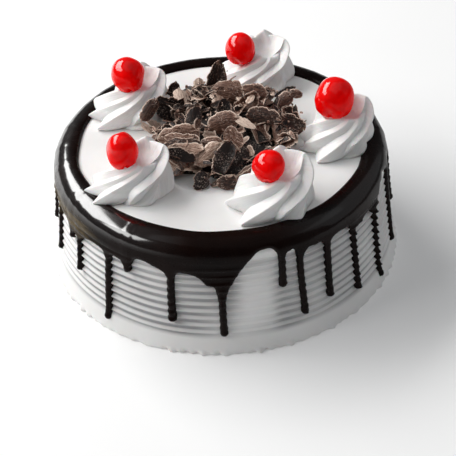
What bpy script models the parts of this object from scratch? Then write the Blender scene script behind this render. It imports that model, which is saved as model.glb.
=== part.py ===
# Round cream cake, 212 mm across its foot: combed cream sides, a ring of dark
# glaze whose drips run down the side, five piped cream rosettes with a cherry
# each, and a heap of curled chocolate shavings in the middle.
# Metres, +Z up, origin at the centre of the base. -Y is the front.

import math
import random

import bmesh
import bpy
import numpy as np
from mathutils import Matrix
from mathutils import Vector

MM = 0.001
GAP = 0.35 * MM  # air between pieces that touch
SAME_PLANE = math.radians(0.3)  # faces closer than this are one after a union

# Cream body
BODY_HEIGHT = 72 * MM
TOP_RADIUS = 97.8 * MM  # ridge crests just under the shoulder
WALL_RADIUS = 103.4 * MM  # ridge crests just above the foot band
SHOULDER_RADIUS = 9 * MM
SHOULDER_STEPS = (0, 15, 30, 45, 60, 75)  # degrees from the flat top
FOOT_HEIGHT = 10.6 * MM
FOOT_RADIUS = 106.3 * MM
FOOT_PROFILE = ((-0.6, 0.0), (0.0, 0.8), (-0.8, 4.0), (-1.8, 7.4), (-2.6, 9.6))  # mm from FOOT_RADIUS, height
RIDGE_COUNT = 11
RIDGE_DEPTH = 1.3 * MM
CREST_SHARE = 0.66  # where a crest stands between two grooves
BODY_SEGMENTS = 46
BODY_SHARP = 20  # edges steeper than this, in degrees, stay sharp

# Glaze ring and drips
GLAZE_INNER_RADIUS = 84 * MM
GLAZE_THICKNESS = 1.9 * MM
COLUMN_SPACING = 4.0  # degrees, about
SHALLOWEST_EDGE = 6 * MM
EDGE_STEP = 0.3 * MM  # least way between two points of the glaze's section
NOSE_LENGTH = 1.6 * MM  # from the lower edge up to full thickness
LIP = (0.6 * MM, 0.9 * MM, 0.45)  # the ring's inner edge: undercut, top, height share
BODY_OVERLAP = 2 * MM  # the side's glaze line starts this far above the foot band
DRIP_EMBED = 4 * MM
DRIP_LEAST = 5 * MM  # a drip shorter than this is left to the sheet's edge
DRIP_NECK = 4.5 * MM  # from a drip's tip up to where its bead starts
DRIP_BEAD = 1.7 * MM
# At a drip's root, neck, bead and tip: share of its half width, share of its thickness
DRIP_STATIONS = ((1.15, 0.9), (0.95, 1.02), (1.02, 1.15), (0.55, 0.8))
# Around a drip: share of its half width, share of its thickness
DRIP_ROUND = ((-0.8, 0.13), (-1.0, 0.5), (-0.45, 0.97), (0.45, 0.97), (1.0, 0.5), (0.8, 0.13))
# Angle in degrees, half width in mm, depths in mm below the top: tip (0 for no drip), edge
# at the drip, edge after it, then the share of the way on where that is
FRONT_DRIPS = (
    (-171.5, 1.8, 40, 19, 16, 0.6),
    (-163.9, 1.9, 53, 19, 21, 0.6),
    (-152.0, 2.0, 30, 26, 24, 0.5),
    (-147.0, 1.9, 48, 25, 20, 0.6),
    (-132.0, 2.3, 67, 23, 21, 0.35),
    (-124.0, 2.3, 28, 24, 17, 0.3),
    (-108.4, 2.4, 54, 23, 20, 0.4),
    (-99.0, 0.0, 0, 22.5, 28, 0.5),
    (-91.8, 2.25, 62, 37, 6, 0.78),
    (-72.0, 2.3, 34, 12, 11, 0.6),
    (-65.0, 2.2, 57, 16, 13, 0.6),
    (-54.8, 2.3, 53, 15, 13, 0.6),
    (-42.4, 2.1, 61, 18, 16, 0.6),
    (-29.0, 1.9, 68, 21, 7, 0.6),
    (-12.3, 1.9, 64, 10, 8, 0.6),
    (-4.5, 1.8, 45, 10, 9, 0.6),
)
BACK_START = 6.0
BACK_END = 178.0
BACK_SPACING = (10.0, 14.5)
BACK_HALF_WIDTH = (1.8, 2.3)
BACK_TIP = (30, 58)
BACK_EDGE = (13, 23)
BACK_RISE = (3, 8)
BACK_DIP_SHARE = 0.6
DRIP_SEED = 4
GLAZE_SHARP = 50
HALVINGS = 24  # steps of the search for a depth

# Rosettes: angle and distance from the middle, radius and rim height in mm, slope of the
# rim, angle of the main rib, step to the ribs left of it, how far those run out in mm
ROSETTES = (
    (-142.4, 65.6, 23.5, 22.6, 0.22, -147, 30, 4.6),
    (-66.7, 66.4, 25.0, 24.0, 0.34, -133, 50, 1.0),
    (-5.5, 68.3, 23.0, 24.4, 0.30, -124, 44, 0.0),
    (71.0, 71.0, 24.0, 22.6, 0.27, -136, 40, 0.0),
    (146.5, 64.5, 24.5, 23.8, 0.27, -140, 36, 2.5),
)
# Share of the height and of the radius, from the foot over the rim into the hollow
ROSETTE_PROFILE = (
    (0.0, 0.90),
    (0.10, 0.99),
    (0.32, 0.92),
    (0.55, 0.79),
    (0.78, 0.67),
    (0.94, 0.55),
    (1.0, 0.44),
    (0.89, 0.30),
)
RIM_ROW = 6
HOLLOW_LEVEL = 0.78
# Angle after the main rib, twist and its power, then size at the foot, midway and at the rim
RIBS = (
    (0, 58, 1.6, 1.06, 1.05, 1.0),
    (47, 120, 5.0, 0.70, 1.10, 1.18),
    (84, 110, 3.0, 0.94, 0.86, 0.95),
    (134, 100, 2.0, 0.98, 1.0, 1.05),
    (190, 90, 2.0, 0.98, 1.0, 1.0),
    (232, 85, 1.6, 1.0, 1.0, 1.0),
)
RIB_LEVELS = (0.1, 0.6, 1.0)
LEFT_RIB = (70, 1.4, 1.03, 0.98, 1.0)
LEFT_RIB_STEPS = (1.9, 1.0)
RIB_TURN = 7.0  # how much the ribs differ in angle
RIB_CHANGE = 0.05  # and in size
RIB_SEED = 91
RIB_COLUMNS = (0.0, 0.36, 0.71)  # share of the way to the next rib, its crease at 0.71
LEFT_FLANK = 24.0  # degrees
RIGHT_FLANK = 58.0
RIGHT_POWER = 0.85
CREASE_DEPTHS = ((0.0, 0.12), (0.3, 0.42), (0.75, 0.46), (1.0, 0.2))  # height share, depth share
LEAST_SIZE = 0.4
FOOT_NOTCH = 0.6  # the creases on the left are deeper at the foot
NOTCH_TOP = 0.3
REACH_TOP = 0.4
CREASE_DROP = 11 * MM  # how far a crease lies lower near the rim
SLOPE_ANGLE = 110.0
RIM_SHIFT = (9 * MM, 20.0)  # how far the rim lies aside, and where to
REACH_ANGLE = -165.0
ROSETTE_SHARP = 40
RING_CUT_START = 2 * MM  # how far below the top the ring's cutter starts
RING_CUT_BEVEL = 1.1 * MM

# Cherries: place across, place along, height of the centre above the cream, half width, half height
CHERRIES = (
    (-55.0, -40.0, 26.2, 9.0, 12.7),
    (26.0, -60.5, 25.9, 9.0, 9.4),
    (67.0, -3.0, 29.6, 11.4, 12.8),
    (15.4, 66.0, 23.0, 9.2, 10.6),
    (-53.5, 35.5, 27.9, 10.1, 11.3),
)
CHERRY_SEGMENTS = 12
CHERRY_RINGS = 7
CHERRY_DIMPLE = 0.22
CHERRY_LEAN = 14.0
CHERRY_TURN = 70.0  # from one fruit to the next
CHERRY_FULLNESS = 0.92
DIMPLE_POWER = 6
CHERRY_SHARP = 60
PIT_GAP = 0.4 * MM

# Shavings
HEAP_PLACE = Vector((2 * MM, 4 * MM, 0.0))
HEAP_LIMIT = 50 * MM
CORE_LIMIT = 41 * MM
CORE_HEIGHT = 16 * MM
CORE_SEGMENTS = 24
CORE_LEVELS = (0.0, 0.35, 0.62, 0.84)
CORE_STEEPNESS = 2.4
CORE_BUMPS = (0.12, 5, 9)  # height share, bumps all round, turn towards the top
CORE_STEP = 0.5 * MM
FLAKE_COUNT = 38
FLAKE_SPREAD = 44 * MM
FLAKE_TRIES = 30  # draws for each place
FLAKE_LENGTH = (11, 22)
FLAKE_CURL = (4.6, 8.2)
FLAKE_OPENING = (45, 95)  # half the curl, degrees
FLAKE_THICKNESS = 1.1 * MM
FLAKE_STEPS = 3
FLAKE_TAPER = (0.6, 1.0)
FLAKE_SKEW = 0.15
FLAKE_DROP = 0.6  # share of the curl that its middle lies lower
FLAKE_RISE = (1.5, 5.5)  # mm above the core
FLAKE_TILT = 50
FLAKE_RISE_END = 1.2  # the rise's factor in the middle, 1 less at the limit
FLAKE_STRAY = 0.2  # radians off the spiral
FLAKE_ROOM = (0.2, 0.8)  # share of its own step along the spiral
FLAKE_LIFT = 0.2 * MM
GOLDEN_ANGLE = math.radians(137.508)
FLAKE_SEED = 16

GLAZE_TOP = BODY_HEIGHT + GAP + GLAZE_THICKNESS
WALL_TOP = BODY_HEIGHT - SHOULDER_RADIUS
SHOULDER_CENTRE = TOP_RADIUS - SHOULDER_RADIUS
DISC_LEVEL = BODY_HEIGHT + GAP


# Materials and small helpers

def material(name, colour, roughness):
    made = bpy.data.materials.new(name)
    made.use_nodes = True
    shader = made.node_tree.nodes["Principled BSDF"]
    shader.inputs["Base Color"].default_value = (*colour, 1.0)
    shader.inputs["Roughness"].default_value = roughness
    shader.inputs["Metallic"].default_value = 0.0
    return made


def polar(radius, angle, height):
    return Vector((radius * math.cos(angle), radius * math.sin(angle), height))


def link(name, mesh, finish):
    made = bpy.data.objects.new(name, mesh)
    bpy.context.scene.collection.objects.link(made)
    if finish:
        mesh.materials.append(finish)
    return made


def loft(name, rings, start=None, end=None, finish=None, ring_shaped=False, flat_sided=False):
    # Skin over closed rings of equal count. An end is a point, or a flat face
    # where none is given. A ring-shaped body joins its last ring to its first.
    # Only flat-sided bodies keep faces of four corners.
    mesh = bpy.data.meshes.new(name)
    skin = bmesh.new()
    rows = [[skin.verts.new(point) for point in ring] for ring in rings]
    count = len(rows[0])
    pairs = list(zip(rows, rows[1:]))
    if ring_shaped:
        pairs.append((rows[-1], rows[0]))
    for low, high in pairs:
        for i in range(count):
            j = (i + 1) % count
            skin.faces.new((low[i], low[j], high[j], high[i]))
    if not ring_shaped:
        for row, tip in ((rows[0], start), (rows[-1], end)):
            if tip is None:
                skin.faces.new(row)
                continue
            point = skin.verts.new(tip)
            for i in range(count):
                skin.faces.new((row[i], row[(i + 1) % count], point))
    bmesh.ops.recalc_face_normals(skin, faces=skin.faces)
    if not flat_sided:
        bmesh.ops.triangulate(skin, faces=skin.faces)
    skin.to_mesh(mesh)
    skin.free()
    return link(name, mesh, finish)


def smooth(body, sharp_angle):
    body.data.shade_smooth()
    body.data.set_sharp_from_angle(angle=math.radians(sharp_angle))


def cutter(body):
    body.hide_render = True
    body.display_type = "WIRE"
    return body


def subtract(body, tool):
    cut = body.modifiers.new("cut", "BOOLEAN")
    cut.operation = "DIFFERENCE"
    cut.object = tool


def apply_modifiers(body):
    bpy.context.view_layer.objects.active = body
    for modifier in list(body.modifiers):
        bpy.ops.object.modifier_apply(modifier=modifier.name)


def fuse(body, pieces):
    # Joins the pieces to the body, then drops loose scraps and sealed hollows
    group = bpy.data.collections.new("fused")
    bpy.context.scene.collection.children.link(group)
    for piece in pieces:
        group.objects.link(piece)
    union = body.modifiers.new("fuse", "BOOLEAN")
    union.operation = "UNION"
    union.operand_type = "COLLECTION"
    union.collection = group
    apply_modifiers(body)
    for piece in pieces:
        bpy.data.objects.remove(piece)
    bpy.data.collections.remove(group)
    keep_largest_shell(body)


def keep_largest_shell(body):
    shape = bmesh.new()
    shape.from_mesh(body.data)
    unseen = set(shape.verts)
    shells = []
    while unseen:
        edge_of_shell = [unseen.pop()]
        shell = set(edge_of_shell)
        while edge_of_shell:
            for edge in edge_of_shell.pop().link_edges:
                for vert in edge.verts:
                    if vert in unseen:
                        unseen.discard(vert)
                        shell.add(vert)
                        edge_of_shell.append(vert)
        shells.append(shell)
    largest = max(shells, key=len)
    loose = [vert for vert in shape.verts if vert not in largest]
    bmesh.ops.delete(shape, geom=loose, context="VERTS")
    bmesh.ops.dissolve_limit(shape, angle_limit=SAME_PLANE, verts=shape.verts, edges=shape.edges)
    bmesh.ops.triangulate(shape, faces=shape.faces)
    shape.to_mesh(body.data)
    shape.free()


# Cream body

def wall_radius(height):
    # The line that the ridge crests follow, leaning in towards the top
    share = (height - FOOT_HEIGHT) / (WALL_TOP - FOOT_HEIGHT)
    return WALL_RADIUS + (TOP_RADIUS - WALL_RADIUS) * share


def shoulder_point(angle, offset=0.0):
    reach = SHOULDER_RADIUS + offset
    return SHOULDER_CENTRE + reach * math.sin(angle), WALL_TOP + reach * math.cos(angle)


def body_profile():
    points = [(FOOT_RADIUS + inward * MM, height * MM) for inward, height in FOOT_PROFILE]
    pitch = (WALL_TOP - FOOT_HEIGHT) / RIDGE_COUNT
    for i in range(RIDGE_COUNT):
        groove = FOOT_HEIGHT + i * pitch
        crest = groove + CREST_SHARE * pitch
        points.append((wall_radius(groove) - RIDGE_DEPTH, groove))
        points.append((wall_radius(crest), crest))
    points.append((wall_radius(WALL_TOP) - RIDGE_DEPTH / 3, WALL_TOP))
    for angle in SHOULDER_STEPS[4::-2]:
        points.append(shoulder_point(math.radians(angle)))
    return points


def make_body(cream):
    rings = []
    for radius, height in body_profile():
        rings.append([polar(radius, math.tau * i / BODY_SEGMENTS, height) for i in range(BODY_SEGMENTS)])
    body = loft("cake", rings, Vector((0, 0, 0)), Vector((0, 0, BODY_HEIGHT)), cream)
    smooth(body, BODY_SHARP)


# Glaze: everything is placed by its run along the cream, from the inner edge of
# the ring over the shoulder and down the side, and by its height off the cream

def glaze_line():
    points = [(GLAZE_INNER_RADIUS, BODY_HEIGHT)]
    points += [shoulder_point(math.radians(angle)) for angle in SHOULDER_STEPS]
    points.append((wall_radius(WALL_TOP), WALL_TOP))
    foot_start = FOOT_HEIGHT + BODY_OVERLAP
    points.append((wall_radius(foot_start), foot_start))
    for inward, height in reversed(FOOT_PROFILE[2:]):
        points.append((FOOT_RADIUS + inward * MM, height * MM))
    line = []
    run = 0.0
    for i, (radius, height) in enumerate(points):
        before = points[max(i - 1, 0)]
        after = points[min(i + 1, len(points) - 1)]
        along = Vector((after[0] - before[0], after[1] - before[1])).normalized()
        if i:
            run += math.dist(points[i - 1], points[i])
        line.append((run, radius, height, -along.y, along.x))
    return line


def off_cream(line, run, lift):
    run = min(max(run, 0.0), line[-1][0])
    for low, high in zip(line, line[1:]):
        if run <= high[0]:
            break
    share = (run - low[0]) / (high[0] - low[0])
    radius, height, out, up = (a + (b - a) * share for a, b in zip(low[1:], high[1:]))
    return radius + out * (GAP + lift), height + up * (GAP + lift)


def run_at_depth(line, depth):
    low = 0.0
    high = line[-1][0]
    for _ in range(HALVINGS):
        middle = (low + high) / 2
        if GLAZE_TOP - off_cream(line, middle, GLAZE_THICKNESS)[1] < depth:
            low = middle
        else:
            high = middle
    return low


def drips():
    draw = random.Random(DRIP_SEED)
    rows = list(FRONT_DRIPS)
    angle = BACK_START
    while angle < BACK_END:
        tip = draw.uniform(*BACK_TIP)
        edge = draw.uniform(*BACK_EDGE)
        dip = edge - draw.uniform(*BACK_RISE)
        rows.append((angle, draw.uniform(*BACK_HALF_WIDTH), tip, edge, dip, BACK_DIP_SHARE))
        angle += draw.uniform(*BACK_SPACING)
    return [(row[0], *(value * MM for value in row[1:5]), row[5]) for row in rows]


def edge_depth(rows, degrees):
    # Depth of the glaze's lower edge: pointed at a drip, rounded between two
    degrees = (degrees - rows[0][0]) % 360 + rows[0][0]
    following = rows[1:] + [(rows[0][0] + 360, *rows[0][1:])]
    for (angle, _, _, edge, dip, dip_share), (next_angle, _, _, next_edge, _, _) in zip(rows, following):
        if degrees <= next_angle:
            break
    share = (degrees - angle) / (next_angle - angle)
    if share < dip_share:
        depth = edge + (dip - edge) * math.sin(math.pi / 2 * share / dip_share)
    else:
        rest = (1 - share) / (1 - dip_share)
        depth = next_edge + (dip - next_edge) * math.sin(math.pi / 2 * rest)
    return max(depth, SHALLOWEST_EDGE)


def column_angles(rows):
    # A column at every drip, and even ones between, so that no drip's web is cut short
    angles = []
    for (start, *_), (end, *_) in zip(rows, rows[1:] + [(rows[0][0] + 360,)]):
        count = max(round((end - start) / COLUMN_SPACING), 1)
        angles += [start + (end - start) * i / count for i in range(count)]
    return angles


def glaze_section(line, depth):
    lower = run_at_depth(line, depth)
    flat = line[1][0]
    turn = line[1 + len(SHOULDER_STEPS)][0]
    arc = turn - flat
    undercut, lip_top, lip_share = LIP
    corners = [flat, flat + arc / 3, flat + arc * 2 / 3, turn]
    inner = [(run, 0.0) for run in (undercut, *corners, lower - EDGE_STEP)]
    nose = [(lower, 0.5), (lower - NOSE_LENGTH, 1.0)]
    outer = [(run, 1.0) for run in (*corners[::-1], lip_top)] + [(0.0, lip_share)]
    limit = lower - 2 * EDGE_STEP
    for i in range(len(inner) - 2, -1, -1):
        inner[i] = (min(inner[i][0], limit), inner[i][1])
        limit = inner[i][0] - EDGE_STEP
    limit = lower - NOSE_LENGTH - EDGE_STEP
    for i in range(len(outer)):
        outer[i] = (min(outer[i][0], limit), outer[i][1])
        limit = outer[i][0] - EDGE_STEP
    return [off_cream(line, run, lift * GLAZE_THICKNESS) for run, lift in inner + nose + outer]


def make_drip(line, angle, half_width, tip, edge):
    start = run_at_depth(line, edge) - DRIP_EMBED
    end = run_at_depth(line, tip)
    runs = (start, end - DRIP_NECK, end - DRIP_BEAD, end)
    rings = []
    for run, (width, lift) in zip(runs, DRIP_STATIONS):
        half = width * half_width
        top = lift * GLAZE_THICKNESS
        ring = []
        for side, share in DRIP_ROUND:
            radius, height = off_cream(line, run, share * top)
            ring.append(polar(radius, math.radians(angle) + side * half / radius, height))
        rings.append(ring)
    return loft("drip", rings)


def make_glaze(finish):
    line = glaze_line()
    rows = drips()
    sections = []
    for degrees in column_angles(rows):
        section = glaze_section(line, edge_depth(rows, degrees))
        sections.append([polar(radius, math.radians(degrees), height) for radius, height in section])
    glaze = loft("ganache", sections, finish=finish, ring_shaped=True)
    pieces = [make_drip(line, *row[:4]) for row in rows if row[2] > row[3] + DRIP_LEAST]
    fuse(glaze, pieces)
    smooth(glaze, GLAZE_SHARP)


# Rosettes

def rosette_centre(number):
    angle, distance = ROSETTES[number][:2]
    return polar(distance * MM, math.radians(angle), DISC_LEVEL)


def rib_rows(number):
    # Every rib of one rosette from left to right, a little different in each
    draw = random.Random(RIB_SEED + number)
    step = ROSETTES[number][6]
    rows = [(-share * step, *LEFT_RIB) for share in LEFT_RIB_STEPS]
    for offset, twist, power, *sizes in RIBS:
        shift = RIB_TURN * draw.uniform(-1, 1) * (offset != 0)
        sizes = [size + RIB_CHANGE * draw.uniform(-1, 1) for size in sizes]
        rows.append((offset + shift, twist, power, *sizes))
    return rows


def rib_size(ribs, angle, height, main, reach):
    # The farthest of all ribs, each one short on its left and long on its right
    best = LEAST_SIZE
    depth = np.interp(height, *zip(*CREASE_DEPTHS))
    for offset, twist, power, *sizes in ribs:
        aside = (angle - main - offset - twist * height ** power + 180) % 360 - 180
        fall = -aside / LEFT_FLANK if aside < 0 else (aside / RIGHT_FLANK) ** RIGHT_POWER
        facing = max(math.cos(math.radians(main + offset - REACH_ANGLE)), 0) ** 2
        size = np.interp(height, RIB_LEVELS, sizes) + reach * facing * max(1 - height / REACH_TOP, 0)
        notch = FOOT_NOTCH * facing * max(1 - height / NOTCH_TOP, 0)
        best = max(best, size * (1 - (depth + notch) * fall))
    return best


def column_turns(ribs, height, main):
    # Each level has its columns on the crests and in the creases
    crests = [main + offset + twist * height ** power for offset, twist, power, *_ in ribs]
    turns = []
    for crest, following in zip(crests, crests[1:] + [crests[0] + 360]):
        turns += [crest + (following - crest) * share for share in RIB_COLUMNS]
    return turns


def rosette_point(number, angle, height, width, size):
    _, _, radius, tall, slope, *_ = ROSETTES[number]
    shift, shift_angle = RIM_SHIFT
    offset = polar(radius * MM * width * size, math.radians(angle), 0)
    offset += polar(shift * height, math.radians(shift_angle), 0)
    uphill = offset.dot(polar(1, math.radians(SLOPE_ANGLE), 0))
    offset.z = height * tall * MM + slope * height * uphill - CREASE_DROP * (1 - size) * height ** 3
    return rosette_centre(number) + offset


def make_rosette(number, cream, tools):
    _, _, radius, _, _, main, _, reach = ROSETTES[number]
    ribs = rib_rows(number)
    rings = []
    for row, (height, width) in enumerate(ROSETTE_PROFILE):
        inner = row > RIM_ROW
        ring = []
        for angle in column_turns(ribs, 1.0 if inner else height, main):
            size = 1.0 if inner else rib_size(ribs, angle, height, main, reach / radius)
            ring.append(rosette_point(number, angle, height, width, size))
        rings.append(ring)
    hollow = rosette_point(number, 0, HOLLOW_LEVEL, 0, 1.0)
    rosette = loft(f"rosette_{number + 1}", rings, None, hollow, cream)
    for tool in tools:
        subtract(rosette, tool)
    smooth(rosette, ROSETTE_SHARP)


def make_glaze_cutter():
    # Clears each rosette's underside of the glaze ring it sits on
    inner = GLAZE_INNER_RADIUS - GAP
    outer = FOOT_RADIUS
    low = BODY_HEIGHT - RING_CUT_START
    high = GLAZE_TOP + GAP
    bevel = RING_CUT_BEVEL
    section = ((inner, low), (outer, low), (outer, high), (inner + bevel, high), (inner, high - bevel))
    sections = []
    for degrees in column_angles(drips()):
        sections.append([polar(radius, math.radians(degrees), height) for radius, height in section])
    return cutter(loft("glaze_cutter", sections, ring_shaped=True))


# Cherries

def make_cherry(number, finish, extra=0.0):
    across, along, height, half_width, half_height = (value * MM for value in CHERRIES[number])
    name = "cherry_cutter" if extra else "cherry"
    rings = []
    for i in range(1, CHERRY_RINGS):
        tilt = math.pi * i / CHERRY_RINGS
        stalk_end = max(math.cos(tilt), 0.0) ** DIMPLE_POWER
        level = -(half_height + extra) * math.cos(tilt) * (1 - CHERRY_DIMPLE * stalk_end * (extra == 0))
        size = (half_width + extra) * math.sin(tilt) ** CHERRY_FULLNESS
        rings.append([polar(size, math.tau * k / CHERRY_SEGMENTS, level) for k in range(CHERRY_SEGMENTS)])
    low = Vector((0, 0, -half_height - extra + (CHERRY_DIMPLE * half_height if not extra else 0)))
    high = Vector((0, 0, half_height + extra))
    cherry = loft(f"{name}_{number + 1}", rings, low, high, finish)
    cherry.location = (across, along, BODY_HEIGHT + height)
    cherry.rotation_euler = (math.radians(CHERRY_LEAN), 0, math.radians(CHERRY_TURN * number))
    smooth(cherry, CHERRY_SHARP)
    return cherry


# Shavings

def clear_of_rosettes(point, margin):
    for number, row in enumerate(ROSETTES):
        if (point.xy - rosette_centre(number).xy).length < row[2] * MM + margin:
            return False
    return True


def core_reach(angle):
    reach = CORE_LIMIT
    while not clear_of_rosettes(HEAP_PLACE + polar(reach, angle, 0), CORE_STEP):
        reach -= CORE_STEP
    return reach


def core_height(share):
    return CORE_HEIGHT * (1 - share ** CORE_STEEPNESS)


def make_core(finish):
    angles = [math.tau * i / CORE_SEGMENTS for i in range(CORE_SEGMENTS)]
    reaches = [core_reach(angle) for angle in angles]
    bump_size, bumps, bump_turn = CORE_BUMPS
    rings = []
    for level in CORE_LEVELS:
        share = 1 - level
        ring = []
        for i, angle in enumerate(angles):
            bump = 1.0 + bump_size * math.sin(bumps * angle + bump_turn * level)
            height = DISC_LEVEL + core_height(share) * bump * (level > 0)
            ring.append(HEAP_PLACE + polar(reaches[i] * share, angle, height))
        rings.append(ring)
    return loft("shavings", rings, None, HEAP_PLACE + Vector((0, 0, DISC_LEVEL + CORE_HEIGHT)), finish)


def flake_rings(draw):
    length = draw.uniform(*FLAKE_LENGTH) * MM
    curl = draw.uniform(*FLAKE_CURL) * MM
    opening = math.radians(draw.uniform(*FLAKE_OPENING))
    taper = draw.uniform(*FLAKE_TAPER)
    rings = []
    for end, size in ((-0.5, 1.0), (0.5, taper)):
        bend = [opening * (2 * k / FLAKE_STEPS - 1) for k in range(FLAKE_STEPS + 1)]
        ring = []
        for angles, radius in ((bend, curl), (bend[::-1], curl - FLAKE_THICKNESS)):
            for angle in angles:
                skew = FLAKE_SKEW * length * math.sin(angle)
                point = Vector((skew, radius * math.sin(angle), radius * math.cos(angle) - curl * FLAKE_DROP))
                ring.append(point * size + Vector((end * length, 0, 0)))
        rings.append(ring)
    return rings


def place_flake(draw, number):
    # Even places along a sunflower's spiral, each moved a little
    angle = number * GOLDEN_ANGLE + draw.uniform(-FLAKE_STRAY, FLAKE_STRAY)
    share = math.sqrt((number + draw.uniform(*FLAKE_ROOM)) / FLAKE_COUNT)
    distance = share * FLAKE_SPREAD
    bare = core_height(min(distance / CORE_LIMIT, 1.0))
    level = DISC_LEVEL + bare + draw.uniform(*FLAKE_RISE) * MM * (FLAKE_RISE_END - share)
    pitch = math.radians(draw.uniform(-FLAKE_TILT, FLAKE_TILT) * (1 - share / 2))
    roll = math.radians(draw.choice((0, 180)) + draw.uniform(-FLAKE_TILT, FLAKE_TILT))
    yaw = draw.uniform(0, math.tau)
    spin = Matrix.Rotation(yaw, 4, "Z") @ Matrix.Rotation(pitch, 4, "Y") @ Matrix.Rotation(roll, 4, "X")
    frame = Matrix.Translation(HEAP_PLACE + polar(distance, angle, level)) @ spin
    rings = [[frame @ point for point in ring] for ring in flake_rings(draw)]
    lowest = min(point.z for ring in rings for point in ring)
    lift = Vector((0, 0, max(DISC_LEVEL + FLAKE_LIFT - lowest, 0.0)))
    return [[point + lift for point in ring] for ring in rings]


def make_shavings(finish):
    draw = random.Random(FLAKE_SEED)
    core = make_core(finish)
    flakes = []
    for number in range(FLAKE_COUNT):
        for _ in range(FLAKE_TRIES):
            rings = place_flake(draw, number)
            points = [point for ring in rings for point in ring]
            inside = all((point - HEAP_PLACE).xy.length < HEAP_LIMIT for point in points)
            if inside and all(clear_of_rosettes(point, GAP) for point in points):
                flakes.append(loft("flake", rings, flat_sided=True))
                break
    fuse(core, flakes)


def main():
    for leftover in list(bpy.data.objects):
        bpy.data.objects.remove(leftover)
    cream = material("cream", (0.80, 0.78, 0.75), 0.45)
    piped = material("piped_cream", (0.84, 0.83, 0.81), 0.40)
    glaze = material("glaze", (0.013, 0.008, 0.007), 0.12)
    cherry = material("cherry", (0.55, 0.006, 0.006), 0.15)
    chocolate = material("chocolate", (0.055, 0.026, 0.018), 0.6)
    make_body(cream)
    make_glaze(glaze)
    ring_cutter = make_glaze_cutter()
    for number in range(len(ROSETTES)):
        make_cherry(number, cherry)
        pit = cutter(make_cherry(number, None, PIT_GAP))
        make_rosette(number, piped, (ring_cutter, pit))
    make_shavings(chocolate)


main()
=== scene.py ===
# Round cream cake: combed sides, a dark glaze ring with drips, piped rosettes
# with cherries and a heap of chocolate shavings. Sizes are in mm and angles in
# degrees unless a line says otherwise. -Y is the front.
import math
import random

import bmesh
import bpy
import numpy as np
from mathutils import Matrix, Vector


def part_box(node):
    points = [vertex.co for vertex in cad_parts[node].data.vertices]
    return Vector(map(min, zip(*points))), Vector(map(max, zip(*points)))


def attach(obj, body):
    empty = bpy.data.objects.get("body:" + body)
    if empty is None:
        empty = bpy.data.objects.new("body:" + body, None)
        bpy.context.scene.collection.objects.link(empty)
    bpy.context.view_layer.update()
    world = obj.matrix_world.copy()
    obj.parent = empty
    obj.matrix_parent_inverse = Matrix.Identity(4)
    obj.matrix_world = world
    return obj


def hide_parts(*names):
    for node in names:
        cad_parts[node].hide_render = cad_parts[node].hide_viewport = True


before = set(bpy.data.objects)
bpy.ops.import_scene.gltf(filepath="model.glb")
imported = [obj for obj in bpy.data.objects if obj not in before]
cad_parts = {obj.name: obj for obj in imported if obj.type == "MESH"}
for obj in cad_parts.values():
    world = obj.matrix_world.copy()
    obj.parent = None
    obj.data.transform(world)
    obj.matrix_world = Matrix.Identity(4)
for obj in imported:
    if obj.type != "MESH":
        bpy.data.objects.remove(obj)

mm = 0.001
tau = math.tau
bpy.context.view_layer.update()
print("frame:", len(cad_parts), "nodes")


# shader maths

class Wire:
    # one socket that sums and products can be written with
    def __init__(self, finish, socket):
        self.finish = finish
        self.socket = socket

    def __add__(self, other):
        return self.finish.sum("ADD", self, other)

    def __radd__(self, other):
        return self.finish.sum("ADD", other, self)

    def __sub__(self, other):
        return self.finish.sum("SUBTRACT", self, other)

    def __rsub__(self, other):
        return self.finish.sum("SUBTRACT", other, self)

    def __mul__(self, other):
        return self.finish.sum("MULTIPLY", self, other)

    def __rmul__(self, other):
        return self.finish.sum("MULTIPLY", other, self)

    def __pow__(self, other):
        return self.finish.sum("POWER", self, other)


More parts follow.
